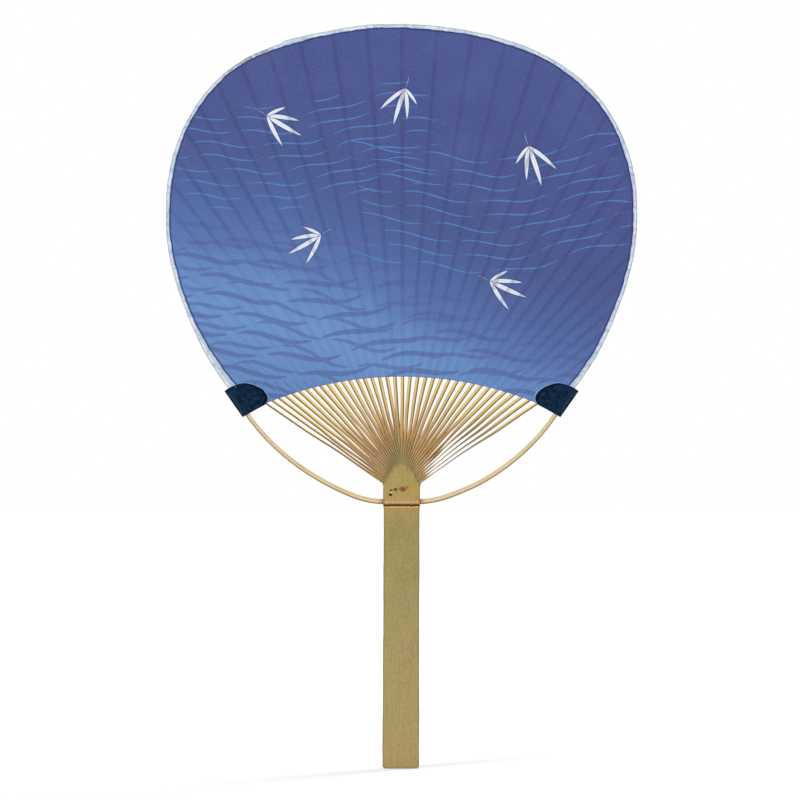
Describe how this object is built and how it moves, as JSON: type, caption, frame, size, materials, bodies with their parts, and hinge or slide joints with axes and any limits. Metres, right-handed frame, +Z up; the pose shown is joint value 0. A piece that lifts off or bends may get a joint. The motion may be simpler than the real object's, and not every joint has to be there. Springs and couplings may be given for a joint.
{
  "type": "hand fan",
  "caption": "Round hand fan: a flat bamboo handle split into fine ribs, held open by a bow and a woven thread, under printed paper with a bound rim and folded ear patches.",
  "frame": {"origin": "centre of the grip, on the middle plane, half way from the end of the handle to the hole of the bow", "axes": "+Z up the handle to the top of the face; the printed face looks towards -Y and the plain back towards +Y; +X to the right as the printed face is seen"},
  "size_m": [0.2446, 0.0052, 0.3867],
  "materials": {
    "bamboo_skin": "natural bamboo skin, satin, olive tan with a dark line and a paler band at the node",
    "split_bamboo": "split and scraped bamboo, matt, golden tan with brown edges",
    "peeled_bamboo": "round peeled bamboo, matt, pale straw",
    "cotton_thread": "twisted cotton, matt, off-white",
    "printed_paper": "handmade paper printed in blues and violet, matt, fibres and ribs showing",
    "plain_paper": "handmade paper, plain off-white, matt, fibres and ribs showing",
    "binding_paper": "thin pale blue-grey paper, matt, slightly wrinkled",
    "dark_paper": "thick dark navy paper, matt, mottled fibres"
  },
  "bodies": {
    "root": {"handle": "bamboo_skin", "rib_01": "split_bamboo", "rib_02": "split_bamboo", "rib_03": "split_bamboo", "rib_04": "split_bamboo", "rib_05": "split_bamboo", "rib_06": "split_bamboo", "rib_07": "split_bamboo", "rib_08": "split_bamboo", "rib_09": "split_bamboo", "rib_10": "split_bamboo", "rib_11": "split_bamboo", "rib_12": "split_bamboo", "rib_13": "split_bamboo", "rib_14": "split_bamboo", "rib_15": "split_bamboo", "rib_16": "split_bamboo", "rib_17": "split_bamboo", "rib_18": "split_bamboo", "rib_19": "split_bamboo", "rib_20": "split_bamboo", "rib_21": "split_bamboo", "rib_22": "split_bamboo", "rib_23": "split_bamboo", "rib_24": "split_bamboo", "rib_25": "split_bamboo", "rib_26": "split_bamboo", "rib_27": "split_bamboo", "rib_28": "split_bamboo", "rib_29": "split_bamboo", "rib_30": "split_bamboo", "rib_31": "split_bamboo", "rib_32": "split_bamboo", "rib_33": "split_bamboo", "rib_34": "split_bamboo", "rib_35": "split_bamboo", "rib_36": "split_bamboo", "rib_37": "split_bamboo", "bow": "peeled_bamboo", "thread": "cotton_thread", "front_paper": "printed_paper", "back_paper": "plain_paper", "rim_binding": "binding_paper", "left_ear": "dark_paper", "right_ear": "dark_paper"}
  },
  "joints": []
}
